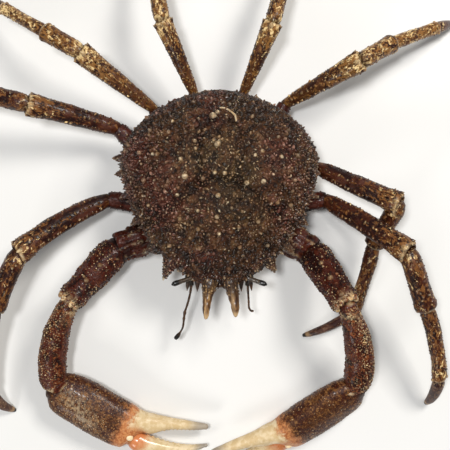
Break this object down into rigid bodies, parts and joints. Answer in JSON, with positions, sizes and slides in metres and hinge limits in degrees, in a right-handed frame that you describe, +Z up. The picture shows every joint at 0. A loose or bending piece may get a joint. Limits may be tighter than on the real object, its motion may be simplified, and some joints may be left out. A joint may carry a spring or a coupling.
{
  "type": "spiny spider crab",
  "caption": "Life-size still model of an adult male spiny spider crab, resting on its belly with its claws curved round in front and its legs spread.",
  "frame": {"origin": "middle of the floor under the bounding box", "axes": "+Z up; the crab faces -Y and its own left side is +X"},
  "size_m": [0.4552, 0.4312, 0.0912],
  "materials": {
    "carapace_shell": "wet, granular brown shell with pale grains",
    "leg_shell": "wet red-brown shell mottled with tan and cream",
    "claw_shell": "smooth wet brown shell turning orange at the fingers",
    "claw_finger": "smooth ivory with grey tips",
    "leg_tip": "brown shell running into a black horny point",
    "underside": "smooth yellow-buff shell",
    "eye": "dark stalk with a glossy black end",
    "antenna": "brown, fine-jointed"
  },
  "bodies": {
    "root": {"carapace": "carapace_shell", "thorax": "underside", "abdomen": "underside", "mouthparts_left": "underside", "eye_left": "eye", "antenna_left": "antenna", "claw_left_ischium": "leg_shell", "claw_left_merus": "leg_shell", "claw_left_carpus": "leg_shell", "claw_left_palm": "claw_shell", "claw_left_finger": "claw_finger", "leg1_left_ischium": "leg_shell", "leg1_left_merus": "leg_shell", "leg1_left_carpus": "leg_shell", "leg1_left_propodus": "leg_shell", "leg1_left_dactyl": "leg_tip", "leg2_left_ischium": "leg_shell", "leg2_left_merus": "leg_shell", "leg2_left_carpus": "leg_shell", "leg2_left_propodus": "leg_shell", "leg2_left_dactyl": "leg_tip", "leg3_left_ischium": "leg_shell", "leg3_left_merus": "leg_shell", "leg3_left_carpus": "leg_shell", "leg3_left_propodus": "leg_shell", "leg3_left_dactyl": "leg_tip", "leg4_left_ischium": "leg_shell", "leg4_left_merus": "leg_shell", "leg4_left_carpus": "leg_shell", "leg4_left_propodus": "leg_shell", "leg4_left_dactyl": "leg_tip", "mouthparts_right": "underside", "eye_right": "eye", "antenna_right": "antenna", "claw_right_ischium": "leg_shell", "claw_right_merus": "leg_shell", "claw_right_carpus": "leg_shell", "claw_right_palm": "claw_shell", "claw_right_finger": "claw_finger", "leg1_right_ischium": "leg_shell", "leg1_right_merus": "leg_shell", "leg1_right_carpus": "leg_shell", "leg1_right_propodus": "leg_shell", "leg1_right_dactyl": "leg_tip", "leg2_right_ischium": "leg_shell", "leg2_right_merus": "leg_shell", "leg2_right_carpus": "leg_shell", "leg2_right_propodus": "leg_shell", "leg2_right_dactyl": "leg_tip", "leg3_right_ischium": "leg_shell", "leg3_right_merus": "leg_shell", "leg3_right_carpus": "leg_shell", "leg3_right_propodus": "leg_shell", "leg3_right_dactyl": "leg_tip", "leg4_right_ischium": "leg_shell", "leg4_right_merus": "leg_shell", "leg4_right_carpus": "leg_shell", "leg4_right_propodus": "leg_shell", "leg4_right_dactyl": "leg_tip"}
  },
  "joints": []
}
